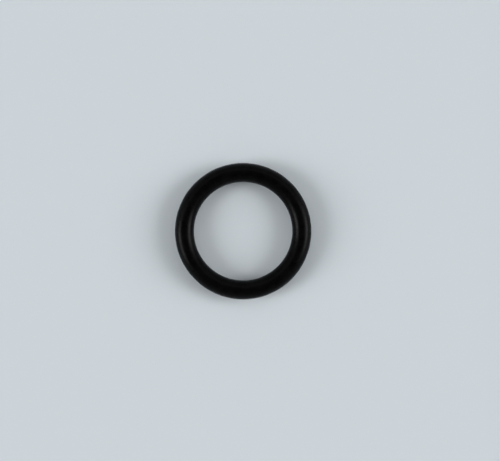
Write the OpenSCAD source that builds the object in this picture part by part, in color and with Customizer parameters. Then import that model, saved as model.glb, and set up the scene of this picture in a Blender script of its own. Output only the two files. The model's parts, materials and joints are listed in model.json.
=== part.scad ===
// Moulded silicone o-ring: a true round section turned about the Z axis.
// All lengths are in millimetres. The origin is the centre of the ring, on its mid-plane.

/* [Ring] */
// Inside diameter, across the round walls and without the mould line
inside_d = 18.64; // [3:0.01:60]
// Diameter of the round section, which is also the height of the ring
section_d = 3.53; // [1.5:0.01:6]

/* [Mould line] */
// How far the trimmed line stands proud of the round wall, inside and outside
line_height = 0.04; // [0.02:0.01:0.1]
// Thickness of the line at its crest
crest_thickness = 0.08; // [0.04:0.01:0.12]
// Thickness of the line at its root, one line height below the round wall
root_thickness = 0.2; // [0.16:0.01:0.3]

/* [Hidden] */
$fn = 180;

section_r = section_d / 2;
centreline_r = inside_d / 2 + section_r;
crest_reach = section_r + line_height;
root_reach = section_r - line_height;

// Bar across the section that ends in the line the two mould halves leave at mid-height.
// Each end tapers from a root inside the round section to a narrow flat crest.
module mould_line() {
    root_half = root_thickness / 2;
    crest_half = crest_thickness / 2;
    polygon([
        [-crest_reach, -crest_half],
        [-root_reach, -root_half],
        [root_reach, -root_half],
        [crest_reach, -crest_half],
        [crest_reach, crest_half],
        [root_reach, root_half],
        [-root_reach, root_half],
        [-crest_reach, crest_half],
    ]);
}

// The section of the ring, centred on its own middle
module ring_section() {
    circle(d = section_d);
    mould_line();
}

module o_ring() {
    color("black")
        rotate_extrude()
            translate([centreline_r, 0])
                ring_section();
}

o_ring();
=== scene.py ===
import json
import math

import bpy
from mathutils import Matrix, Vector, noise


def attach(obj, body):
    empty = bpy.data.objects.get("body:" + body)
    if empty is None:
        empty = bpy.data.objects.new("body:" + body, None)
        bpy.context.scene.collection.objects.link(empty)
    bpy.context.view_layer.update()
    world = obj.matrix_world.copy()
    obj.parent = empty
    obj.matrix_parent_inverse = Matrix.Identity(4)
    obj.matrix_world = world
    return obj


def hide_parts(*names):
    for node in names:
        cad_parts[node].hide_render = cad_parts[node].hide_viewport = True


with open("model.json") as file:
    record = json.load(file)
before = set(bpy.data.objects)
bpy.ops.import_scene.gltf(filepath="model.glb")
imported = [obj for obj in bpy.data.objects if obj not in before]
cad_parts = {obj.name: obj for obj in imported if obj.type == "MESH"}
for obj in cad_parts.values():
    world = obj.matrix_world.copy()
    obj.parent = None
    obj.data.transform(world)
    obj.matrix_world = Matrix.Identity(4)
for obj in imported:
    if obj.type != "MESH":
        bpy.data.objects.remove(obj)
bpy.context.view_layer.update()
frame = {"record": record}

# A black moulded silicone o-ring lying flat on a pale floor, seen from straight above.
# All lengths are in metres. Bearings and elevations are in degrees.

MM = 0.001

# Sizes of the ring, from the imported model's mounts: the top seal is the highest point over the
# centreline, and the outer seat is the crest of the mould line
MOUNTS = {mount["name"]: mount for mount in frame["record"]["mounts"]}
CENTRELINE_R, _, SECTION_R = MOUNTS["top_seal"]["pos_m"]
LINE_HEIGHT = MOUNTS["outer_seat"]["dims"]["r_mm"] * MM - CENTRELINE_R - SECTION_R
CREST_HALF = MOUNTS["outer_seat"]["dims"]["length_mm"] * MM / 2

# Photograph's frame, in its own pixels counted from the corner
PHOTO_W = 500
PHOTO_H = 461
# The ring's centre in that frame, and the radius of its centreline
RING_PX = (243.15, 231.2)
CENTRELINE_PX = 58.7

# Camera: its height above the ring's middle, and the width of its sensor
CAMERA_HEIGHT = 0.4
SENSOR_MM = 36.0

# Mould line: how far from its middle it meets the round wall, and how far that middle wanders
LINE_FOOT = 2.3 * CREST_HALF
LINE_WANDER = 0.012 * MM
# Shares of the line's height that are lost where it was trimmed lowest and where its crest is ragged
TRIM_LOSS = 0.45
RAGGED_LOSS = 0.15
# Skin: how far the rubber shrank inside the true round, and how unevenly
SHRINKAGE = 0.008 * MM
UNEVENNESS = 0.002 * MM

# Size of the lumps in the noise behind each of these. The shift gives the trim's noise its own lumps
WANDER_LUMP = 1.6 * MM
TRIM_LUMP = 0.9 * MM
TRIM_SHIFT = Vector((0, 0, 5 * MM))
RAGGED_LUMP = 0.28 * MM
UNEVEN_LUMP = 2.2 * MM

# Mesh: steps round the ring, on each mould line, and on each half of the section between the lines
STEPS_AROUND = 640
STEPS_ON_LINE = 14
STEPS_BETWEEN_LINES = 40
# The steps on a line reach a little past its foot
LINE_STEPS_END = 1.25 * LINE_FOOT

# Silicone's patterns: the size of each one's lumps, and how many finer layers it holds
GRAIN = (0.05 * MM, 2.0)
TURNED_MARKS = (0.10 * MM, 3.0)
BLOOM = (0.35 * MM, 4.0)
MOTTLE = (1.8 * MM, 3.0)
# Strength of each finer layer against the one before
LAYER_STRENGTH = 0.55
# How slowly the turned marks change along the ring, where 1 is as fast as across its section
MARKS_DRIFT_X = 0.03
MARKS_DRIFT_Y = 0.02

# Silicone's tones, the span of each pattern's noise over which its tone comes in, and how strongly
DARK_TONE = (0.0012, 0.0012, 0.0014)
LIGHT_TONE = (0.0021, 0.0021, 0.0024)
BLOOM_TONE = (0.0050, 0.0050, 0.0053)
LINE_TONE = (0.0100, 0.0100, 0.0104)
MOTTLE_SPAN = (0.35, 0.65)
BLOOM_SPAN = (0.5, 0.8)
BLOOM_SHARE = 0.35
LINE_SHARE = 0.6
# The mould line's own finish fades out a little past its foot
LINE_FINISH_END = 1.2 * LINE_FOOT

# Silicone's roughness: the span of a pattern's noise, and what it gives at the span's two ends
MOTTLE_ROUGHNESS = (0.3, 0.7, 0.25, 0.34)
BLOOM_ROUGHNESS = (0.35, 0.7, -0.03, 0.09)
LINE_ROUGHNESS = 0.15

# Silicone's refraction, and a specular level low enough for the photograph's deep black
IOR = 1.41
SPECULAR_LEVEL = 0.075

# Silicone's relief, from its lowest to its highest places
GRAIN_DEPTH = 0.0025 * MM
MARKS_DEPTH = 0.0035 * MM
BLOOM_DEPTH = 0.010 * MM

# Studio: how far the floor reaches, and the brightness of what surrounds the ring, where 1 is white
FLOOR_REACH = 3.0
FLOOR_COLOUR = (0.70, 0.76, 0.80)
FLOOR_LIGHT = 0.855
CEILING = 0.02
SURROUND = 0.40
# Elevations between which the backdrop turns into the surround, and the surround into the ceiling
BACKDROP_FADE = (7, 11)
SURROUND_FADE = (25, 58)
# Each soft box is so wide to either side of its bearing, and stands between two elevations
SOFTBOXES = (
    dict(bearing=1, half_width=19, bottom=6, top=48, strength=8.0),
    dict(bearing=189, half_width=16.5, bottom=6, top=48, strength=9.0),
    dict(bearing=90, half_width=50, bottom=35, top=65, strength=1.0),
)
# How far a soft box fades at its sides, and at its lower and upper edges, in degrees
SOFT_SIDE = 8
SOFT_EDGE = 14
# A soft box shows on its own side only: it comes in while the way towards it goes from 0 to this
AHEAD_FADE = 0.2

# Sockets of a colour mix node, which share their names with those of its other types
MIX_A = 6
MIX_B = 7
MIX_RESULT = 2


def swell(point, size):
    """Smooth noise from -1 to 1 with lumps of about the given size."""
    return noise.noise(point / size)


def line_shape(offset):
    """Height of the mould line, from 0 to 1, at a distance along the section from its middle."""
    t = (abs(offset) - CREST_HALF) / (LINE_FOOT - CREST_HALF)
    t = min(max(t, 0.0), 1.0)
    return 1.0 - t * t * (3.0 - 2.0 * t)


def crest_height(on_line):
    """How proud the trimmed mould line stands at a place on its run round the ring."""
    trimmed = max(0.0, swell(on_line + TRIM_SHIFT, TRIM_LUMP))
    whole = 0.5 + 0.5 * swell(on_line, RAGGED_LUMP)
    return LINE_HEIGHT * (1 - TRIM_LOSS * trimmed) * (1 - RAGGED_LOSS + RAGGED_LOSS * whole)


def section_angles():
    """Angles round the section, close together on the outer and inner mould lines."""
    reach = LINE_STEPS_END / SECTION_R
    on_line = [reach * (2 * k / STEPS_ON_LINE - 1) for k in range(STEPS_ON_LINE + 1)]
    gap = math.pi - 2 * reach
    between = [reach + gap * k / STEPS_BETWEEN_LINES for k in range(1, STEPS_BETWEEN_LINES)]
    outer_half = on_line + between
    return outer_half + [angle + math.pi for angle in outer_half]


def ring_point(turn, angle):
    """A point of the moulded surface: turn goes round the ring and angle round its section."""
    around = Vector((math.cos(turn), math.sin(turn), 0.0))
    side, line_angle = (1, 0.0) if math.cos(angle) > 0 else (-1, math.pi)
    on_line = around * (CENTRELINE_R + side * SECTION_R)
    wander = LINE_WANDER * swell(on_line, WANDER_LUMP)
    from_line = (angle - line_angle + math.pi) % (2 * math.pi) - math.pi
    radius = SECTION_R + crest_height(on_line) * line_shape(from_line * SECTION_R - wander)
    out = around * math.cos(angle) + Vector((0, 0, math.sin(angle)))
    skin = around * CENTRELINE_R + out * radius
    return skin - out * (SHRINKAGE + UNEVENNESS * swell(skin, UNEVEN_LUMP))


def closed_grid(rows, columns):
    """The quads of a grid of points that closes on itself both ways."""
    faces = []
    for row in range(rows):
        here = row * columns
        there = (row + 1) % rows * columns
        for column in range(columns):
            beside = (column + 1) % columns
            faces.append((here + column, there + column, there + beside, here + beside))
    return faces


def add_mesh(name, points, faces):
    """A new mesh object in the scene."""
    mesh = bpy.data.meshes.new(name)
    mesh.from_pydata(points, [], faces)
    piece = bpy.data.objects.new(name, mesh)
    bpy.context.collection.objects.link(piece)
    return piece


def make_ring():
    """The one moulded piece, as a closed and smooth grid of quads."""
    turns = [2 * math.pi * i / STEPS_AROUND for i in range(STEPS_AROUND)]
    angles = section_angles()
    points = [ring_point(turn, angle) for turn in turns for angle in angles]
    ring = add_mesh("moulded_ring", points, closed_grid(len(turns), len(angles)))
    ring.data.polygons.foreach_set("use_smooth", [True] * len(ring.data.polygons))
    ring.data.update()
    return ring


class Nodes:
    """Short calls that add shader nodes to one tree. An input is a socket or a plain value."""

    def __init__(self, tree):
        self.tree = tree
        tree.nodes.clear()

    def add(self, kind, inputs=(), **settings):
        """A node of the given kind, with its settings made and its inputs filled."""
        node = self.tree.nodes.new(kind)
        for name, value in settings.items():
            setattr(node, name, value)
        for key, value in dict(inputs).items():
            if isinstance(value, bpy.types.NodeSocket):
                self.tree.links.new(value, node.inputs[key])
            else:
                node.inputs[key].default_value = value
        return node

    def math(self, operation, a, b=0.0):
        """One number worked out from one or two others."""
        return self.add("ShaderNodeMath", {0: a, 1: b}, operation=operation).outputs[0]

    def dot(self, a, b):
        """How far one direction goes along the other."""
        return self.add("ShaderNodeVectorMath", {0: a, 1: b}, operation="DOT_PRODUCT").outputs["Value"]

    def ramp(self, value, start, end, low=0.0, high=1.0, kind="SMOOTHSTEP"):
        """From low to high while the value goes from start to end, and level outside."""
        inputs = {0: value, 1: start, 2: end, 3: low, 4: high}
        return self.add("ShaderNodeMapRange", inputs, interpolation_type=kind).outputs[0]

    def noise(self, place, size, layers):
        """Noise from 0 to 1 with lumps of about the given size and some finer layers."""
        inputs = {"Vector": place, "Scale": 1 / size, "Detail": layers, "Roughness": LAYER_STRENGTH}
        return self.add("ShaderNodeTexNoise", inputs).outputs["Fac"]

    def mix(self, share, a, b):
        """From colour a to colour b, each of them a socket or three numbers."""
        a, b = (c if isinstance(c, bpy.types.NodeSocket) else (*c, 1.0) for c in (a, b))
        inputs = {"Factor": share, MIX_A: a, MIX_B: b}
        return self.add("ShaderNodeMix", inputs, data_type="RGBA").outputs[MIX_RESULT]

    def bump(self, height, depth, **below):
        """Relief of the given depth, laid over the Normal below it if that is given."""
        inputs = {"Height": height, "Strength": 1.0, "Distance": depth, **below}
        return self.add("ShaderNodeBump", inputs).outputs[0]

    def surface(self, inputs):
        """The one shader of a material, joined to its output."""
        shader = self.add("ShaderNodeBsdfPrincipled", inputs)
        self.add("ShaderNodeOutputMaterial", {"Surface": shader.outputs[0]})


def new_material(name):
    """An empty material, and the short calls that fill its tree."""
    material = bpy.data.materials.new(name)
    material.use_nodes = True
    return material, Nodes(material.node_tree)


def turned_place(nodes, xyz):
    """Where turned marks are looked up: fast to change across the section, slow along the ring."""
    flat = nodes.add("ShaderNodeCombineXYZ", {0: xyz[0], 1: xyz[1]}).outputs[0]
    from_axis = nodes.add("ShaderNodeVectorMath", {0: flat}, operation="LENGTH").outputs["Value"]
    drift_x = nodes.math("MULTIPLY", xyz[0], MARKS_DRIFT_X)
    drift_y = nodes.math("MULTIPLY", xyz[1], MARKS_DRIFT_Y)
    drift = nodes.math("ADD", drift_x, drift_y)
    return nodes.add("ShaderNodeCombineXYZ", {0: from_axis, 1: xyz[2], 2: drift}).outputs[0]


def silicone_tone(nodes, mottle, bloom, line):
    """Mottled near-black, a little paler in the bloom and on the mould line."""
    tone = nodes.mix(nodes.ramp(mottle, *MOTTLE_SPAN), DARK_TONE, LIGHT_TONE)
    bloomed = nodes.math("MULTIPLY", nodes.ramp(bloom, *BLOOM_SPAN), BLOOM_SHARE)
    tone = nodes.mix(bloomed, tone, BLOOM_TONE)
    return nodes.mix(nodes.math("MULTIPLY", line, LINE_SHARE), tone, LINE_TONE)


def silicone_roughness(nodes, mottle, bloom, line):
    """Satin, uneven, and duller on the mould line."""
    rough = nodes.ramp(mottle, *MOTTLE_ROUGHNESS, "LINEAR")
    rough = nodes.math("ADD", rough, nodes.ramp(bloom, *BLOOM_ROUGHNESS, "LINEAR"))
    return nodes.math("ADD", rough, nodes.math("MULTIPLY", line, LINE_ROUGHNESS))


def silicone():
    """Near-black silicone with a soft sheen, turned mould marks, a matt grain and a duller line."""
    material, nodes = new_material("black_silicone")
    place = nodes.add("ShaderNodeTexCoord").outputs["Object"]
    xyz = nodes.add("ShaderNodeSeparateXYZ", {0: place}).outputs
    grain = nodes.noise(place, *GRAIN)
    marks = nodes.noise(turned_place(nodes, xyz), *TURNED_MARKS)
    bloom = nodes.noise(place, *BLOOM)
    mottle = nodes.noise(place, *MOTTLE)
    relief = nodes.bump(grain, GRAIN_DEPTH)
    relief = nodes.bump(marks, MARKS_DEPTH, Normal=relief)
    relief = nodes.bump(bloom, BLOOM_DEPTH, Normal=relief)
    # The mould line is level with the ring's middle, on both walls
    line = nodes.ramp(nodes.math("ABSOLUTE", xyz[2]), CREST_HALF, LINE_FINISH_END, 1.0, 0.0)
    nodes.surface({
        "Base Color": silicone_tone(nodes, mottle, bloom, line),
        "Roughness": silicone_roughness(nodes, mottle, bloom, line),
        "IOR": IOR,
        "Specular IOR Level": SPECULAR_LEVEL,
        "Normal": relief,
    })
    return material


def pale_floor():
    """A plain matt finish."""
    material, nodes = new_material("pale_floor")
    nodes.surface({"Base Color": (*FLOOR_COLOUR, 1.0), "Roughness": 1.0, "Specular IOR Level": 0.0})
    return material


def make_floor():
    """A wide plain pale floor that touches the ring's lowest line."""
    signs = ((-1, -1), (1, -1), (1, 1), (-1, 1))
    corners = [(x * FLOOR_REACH, y * FLOOR_REACH, -SECTION_R) for x, y in signs]
    floor = add_mesh("floor", corners, [(0, 1, 2, 3)])
    floor.data.materials.append(pale_floor())


def sine(degrees):
    """Sine of an angle in degrees, which is the height of a direction at that elevation."""
    return math.sin(math.radians(degrees))


def by_elevation(nodes, height, start, end, low=0.0, high=1.0):
    """From low to high while the elevation goes from start to end."""
    return nodes.ramp(height, sine(start), sine(end), low, high)


def softbox(nodes, toward, height, bearing, half_width, bottom, top, strength):
    """The light of one far panel that is upright and fades at its edges."""
    ahead = nodes.dot(toward, (sine(90 - bearing), sine(bearing), 0.0))
    aside = nodes.dot(toward, (-sine(bearing), sine(90 - bearing), 0.0))
    across = nodes.math("ABSOLUTE", aside)
    light = nodes.ramp(across, sine(half_width - SOFT_SIDE), sine(half_width), strength, 0.0)
    light = nodes.math("MULTIPLY", light, nodes.ramp(ahead, 0.0, AHEAD_FADE))
    light = nodes.math("MULTIPLY", light, by_elevation(nodes, height, bottom, bottom + SOFT_EDGE))
    return nodes.math("MULTIPLY", light, by_elevation(nodes, height, top - SOFT_EDGE, top, 1.0, 0.0))


def make_studio():
    """Soft boxes left and right, a weak one behind, a pale backdrop low down and a dark ceiling."""
    world = bpy.data.worlds.new("studio")
    world.use_nodes = True
    bpy.context.scene.world = world
    nodes = Nodes(world.node_tree)
    toward = nodes.add("ShaderNodeTexCoord").outputs["Generated"]
    height = nodes.add("ShaderNodeSeparateXYZ", {0: toward}).outputs[2]
    light = by_elevation(nodes, height, *SURROUND_FADE, SURROUND, CEILING)
    for box in SOFTBOXES:
        light = nodes.math("ADD", light, softbox(nodes, toward, height, **box))
    grey = nodes.add("ShaderNodeCombineColor", {0: light, 1: light, 2: light}).outputs[0]
    # The backdrop is as bright as the far floor, so that no horizon shows
    backdrop = tuple(FLOOR_LIGHT * channel for channel in FLOOR_COLOUR)
    low = by_elevation(nodes, height, *BACKDROP_FADE, 1.0, 0.0)
    colour = nodes.mix(low, grey, backdrop)
    background = nodes.add("ShaderNodeBackground", {"Color": colour, "Strength": 1.0})
    nodes.add("ShaderNodeOutputWorld", {"Surface": background.outputs[0]})


def make_camera():
    """A long lens straight above, with the ring where the photograph has it."""
    pixels_per_metre = CENTRELINE_PX / CENTRELINE_R
    data = bpy.data.cameras.new("camera")
    data.sensor_fit = "HORIZONTAL"
    data.sensor_width = SENSOR_MM
    data.lens = SENSOR_MM * CAMERA_HEIGHT * pixels_per_metre / PHOTO_W
    camera = bpy.data.objects.new("camera", data)
    bpy.context.collection.objects.link(camera)
    across = (PHOTO_W / 2 - RING_PX[0]) / pixels_per_metre
    up = (RING_PX[1] - PHOTO_H / 2) / pixels_per_metre
    camera.location = (across, up, CAMERA_HEIGHT)
    bpy.context.scene.camera = camera


def main():
    """The camera, the ring in the place of its plain solid, its floor and its studio."""
    make_camera()
    ring = make_ring()
    ring.data.materials.append(silicone())
    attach(ring, "root")
    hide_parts("o_ring")
    make_floor()
    make_studio()
    bpy.context.scene.view_settings.view_transform = "Standard"


main()
